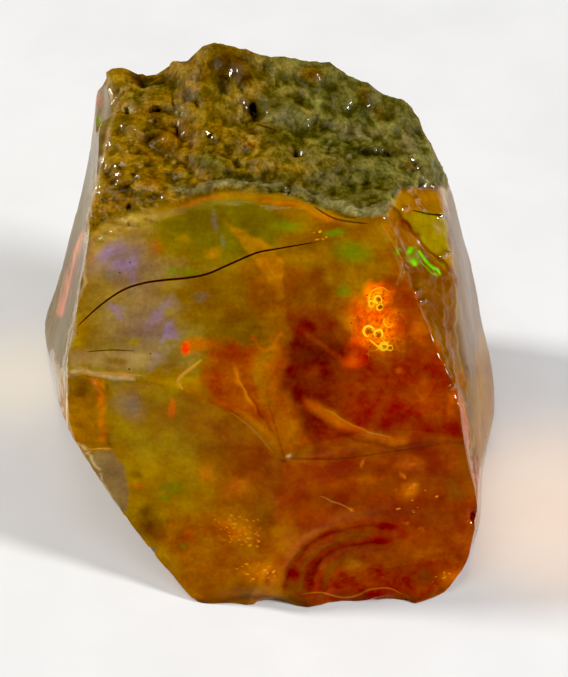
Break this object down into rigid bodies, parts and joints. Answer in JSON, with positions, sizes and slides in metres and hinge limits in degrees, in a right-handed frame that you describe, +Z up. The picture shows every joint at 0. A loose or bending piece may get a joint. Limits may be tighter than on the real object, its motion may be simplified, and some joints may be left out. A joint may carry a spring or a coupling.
{
  "type": "rough ethiopian opal",
  "caption": "Broken nodule of amber precious opal that rests on a flat break, with see-through body, shell-like break ripples and a weathered rock rind on top.",
  "frame": {"origin": "bottom centre of the stone's box, on the surface it rests on", "axes": "+Z up from the flat break it rests on; the large glassy front break faces -Y, so the viewer's right is +X"},
  "size_m": [0.0196, 0.0182, 0.0162],
  "materials": {
    "amber_opal": "glassy breaks with a dull, wet-looking rind on top"
  },
  "bodies": {
    "root": {"opal_stone": "amber_opal"}
  },
  "joints": []
}
